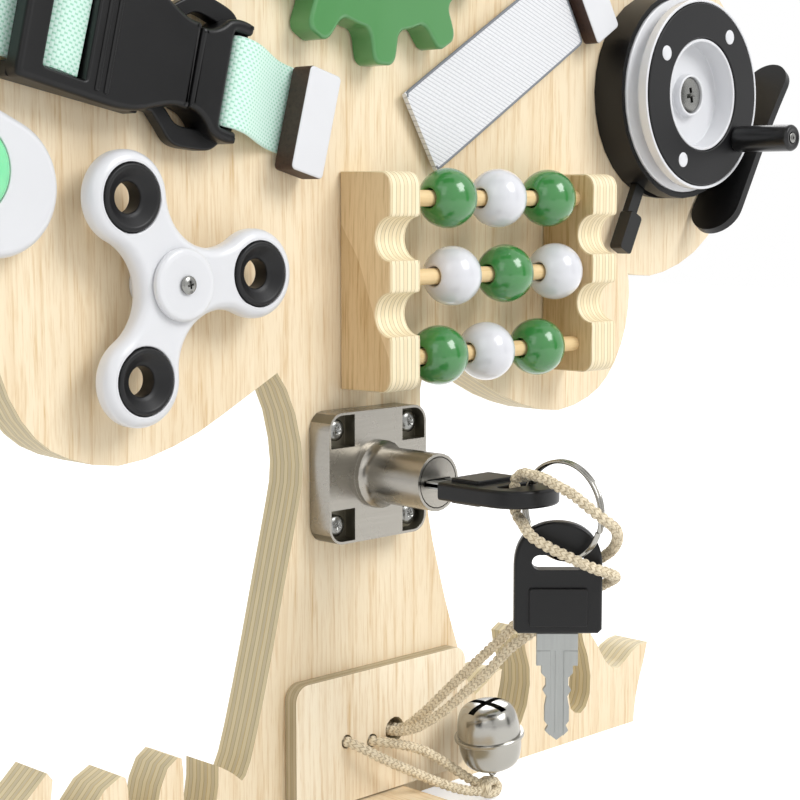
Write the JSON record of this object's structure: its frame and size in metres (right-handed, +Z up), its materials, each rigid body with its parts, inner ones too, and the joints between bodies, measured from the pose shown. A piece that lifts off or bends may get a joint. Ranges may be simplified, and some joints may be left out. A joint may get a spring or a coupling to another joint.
{
  "type": "wooden busy board",
  "caption": "Free-standing tree-shaped plywood activity board with sliding beads, gears, spinner, buckle, strap, lock with key, crank reel, push light and bell.",
  "frame": {"origin": "on the floor, in the plane of the tree's front face, in the middle of the trunk", "axes": "+X to the right as seen from the front, +Y from the front face to the back, +Z up"},
  "size_m": [0.4129, 0.1464, 0.424],
  "materials": {
    "birch": "sanded, clear matt varnish",
    "dowel": "sanded, bare",
    "green": "glossy lacquer",
    "white": "glossy, smooth",
    "black": "fine matt",
    "softBlack": "matt",
    "nickel": "brushed nickel plating",
    "chrome": "polished",
    "steel": "satin",
    "mint": "woven with a small dotted weave",
    "strapWhite": "looped pile",
    "walnut": "stained edges, sanded",
    "rope": "twisted cotton",
    "lens": "clear green, polished",
    "mintPlastic": "glossy, smooth",
    "circuit": "bare board"
  },
  "bodies": {
    "board": {"tree_board": "birch", "cross_foot": "birch", "cord_panel": "birch", "abacus_left_block": "birch", "abacus_right_block": "birch", "rod_top": "dowel", "rod_middle": "dowel", "rod_bottom": "dowel", "spinner_cap": "white", "spinner_screw": "steel", "large_gear_pin": "white", "right_gear_pin": "white", "left_gear_pin": "white", "buckle_female": "black", "left_webbing": "mint", "right_webbing": "mint", "left_webbing_block": "walnut", "right_webbing_block": "walnut", "hook_strip": "strapWhite", "strap_block": "walnut", "reel_housing": "softBlack", "reel_screw": "steel", "lock_body": "nickel", "light_shell": "white", "light_base": "circuit", "bell_shell": "chrome", "bell_ball": "steel", "bell_cord": "rope", "key_cord": "rope"},
    "bead_top_1": {"bead_top_1": "green"},
    "bead_top_2": {"bead_top_2": "white"},
    "bead_top_3": {"bead_top_3": "green"},
    "bead_middle_1": {"bead_middle_1": "white"},
    "bead_middle_2": {"bead_middle_2": "green"},
    "bead_middle_3": {"bead_middle_3": "white"},
    "bead_bottom_1": {"bead_bottom_1": "green"},
    "bead_bottom_2": {"bead_bottom_2": "white"},
    "bead_bottom_3": {"bead_bottom_3": "green"},
    "spinner": {"spinner_body": "white", "spinner_ring_1": "black", "spinner_ring_2": "black", "spinner_ring_3": "black"},
    "large_gear": {"large_gear": "green"},
    "right_gear": {"right_gear": "white"},
    "left_gear": {"left_gear": "mintPlastic"},
    "reel_spool": {"reel_spool": "white", "reel_face_ring": "black", "crank_pin": "steel"},
    "crank_knob": {"crank_knob": "black"},
    "reel_lever": {"reel_lever": "black"},
    "lock_plug": {"lock_plug": "nickel"},
    "lock_bolt": {"lock_bolt": "steel"},
    "lock_key": {"lock_key_bow": "black", "lock_key_blade": "steel"},
    "key_ring": {"key_ring": "steel"},
    "spare_key": {"spare_key_bow": "black", "spare_key_blade": "steel"},
    "buckle_male": {"buckle_male": "black"},
    "light_lens": {"light_lens": "lens"},
    "loop_strap": {"loop_strap": "strapWhite"}
  },
  "joints": [
    {"name": "bead_top_1_slide", "type": "slide", "parent": "board", "child": "bead_top_1", "axis": [1, 0, 0], "range_m": [-0.0109, 0.0027]},
    {"name": "bead_top_2_slide", "type": "slide", "parent": "board", "child": "bead_top_2", "axis": [1, 0, 0], "range_m": [-0.0028, 0.0033]},
    {"name": "bead_top_3_slide", "type": "slide", "parent": "board", "child": "bead_top_3", "axis": [1, 0, 0], "range_m": [-0.0033, 0.0048]},
    {"name": "bead_middle_1_slide", "type": "slide", "parent": "board", "child": "bead_middle_1", "axis": [1, 0, 0], "range_m": [-0.0131, 0.0034]},
    {"name": "bead_middle_2_slide", "type": "slide", "parent": "board", "child": "bead_middle_2", "axis": [1, 0, 0], "range_m": [-0.0035, 0.0034]},
    {"name": "bead_middle_3_slide", "type": "slide", "parent": "board", "child": "bead_middle_3", "axis": [1, 0, 0], "range_m": [-0.0035, 0.0009]},
    {"name": "bead_bottom_1_slide", "type": "slide", "parent": "board", "child": "bead_bottom_1", "axis": [1, 0, 0], "range_m": [-0.0071, 0.002]},
    {"name": "bead_bottom_2_slide", "type": "slide", "parent": "board", "child": "bead_bottom_2", "axis": [1, 0, 0], "range_m": [-0.002, 0.0034]},
    {"name": "bead_bottom_3_slide", "type": "slide", "parent": "board", "child": "bead_bottom_3", "axis": [1, 0, 0], "range_m": [-0.0035, 0.0098]},
    {"name": "spinner_spin", "type": "hinge", "parent": "board", "child": "spinner", "pos_m": [-0.0825, -0.0105, 0.1697], "axis": [0, -1, 0], "continuous": true},
    {"name": "large_gear_spin", "type": "hinge", "parent": "board", "child": "large_gear", "pos_m": [0, -0.005, 0.288], "axis": [0, -1, 0], "continuous": true},
    {"name": "right_gear_spin", "type": "hinge", "parent": "board", "child": "right_gear", "pos_m": [0.04238, -0.005, 0.36141], "axis": [0, -1, 0], "continuous": true},
    {"name": "left_gear_spin", "type": "hinge", "parent": "board", "child": "left_gear", "pos_m": [-0.04238, -0.005, 0.36141], "axis": [0, -1, 0], "continuous": true},
    {"name": "reel_spin", "type": "hinge", "parent": "board", "child": "reel_spool", "pos_m": [0.148, -0.0142, 0.2294], "axis": [0, -1, 0], "continuous": true},
    {"name": "crank_knob_spin", "type": "hinge", "parent": "reel_spool", "child": "crank_knob", "pos_m": [0.16887, -0.032, 0.21424], "axis": [0, -1, 0], "continuous": true},
    {"name": "reel_lever_swing", "type": "hinge", "parent": "board", "child": "reel_lever", "pos_m": [0.13483, -0.0044, 0.20356], "axis": [0, -1, 0], "range_deg": [0, 12], "stiffness_Nm_per_rad": 0.01, "springref_deg": -5.73},
    {"name": "lock_plug_turn", "type": "hinge", "parent": "board", "child": "lock_plug", "pos_m": [-0.0025, -0.02, 0.109], "axis": [0, 1, 0], "range_deg": [0, 90], "deforming": ["key_cord"]},
    {"name": "lock_bolt_slide", "type": "slide", "parent": "board", "child": "lock_bolt", "axis": [0, 0, -1], "range_m": [0, 0.0045]},
    {"name": "lock_key_pull", "type": "slide", "parent": "lock_plug", "child": "lock_key", "axis": [0, -1, 0], "range_m": [0, 0.032], "deforming": ["key_cord"]},
    {"name": "key_ring_lift", "type": "hinge", "parent": "lock_key", "child": "key_ring", "pos_m": [0.0017, -0.0649, 0.109], "axis": [-1, 0, 0], "range_deg": [0, 14], "deforming": ["key_cord"]},
    {"name": "spare_key_swing", "type": "hinge", "parent": "key_ring", "child": "spare_key", "pos_m": [0.00086, -0.0774, 0.0915], "axis": [0, 1, 0], "range_deg": [-20, 15], "deforming": ["key_cord"]},
    {"name": "buckle_release", "type": "slide", "parent": "board", "child": "buckle_male", "axis": [0.9724, 0, -0.2334], "range_m": [0, 0.018], "deforming": ["right_webbing"]},
    {"name": "light_press", "type": "slide", "parent": "board", "child": "light_lens", "axis": [0, 1, 0], "range_m": [0, 0.002], "stiffness_N_per_m": 400, "springref_m": -0.0005},
    {"name": "strap_lift", "type": "hinge", "parent": "board", "child": "loop_strap", "pos_m": [0.09341, -0.0027, 0.25735], "axis": [-0.5225, 0, 0.8526], "range_deg": [0, 100]}
  ],
  "couplings": [
    {"joint": "right_gear_spin", "follows": "large_gear_spin", "ratio": -1.5},
    {"joint": "left_gear_spin", "follows": "large_gear_spin", "ratio": -1.5},
    {"joint": "lock_bolt_slide", "follows": "lock_plug_turn", "m_per_rad": 0.00286}
  ]
}
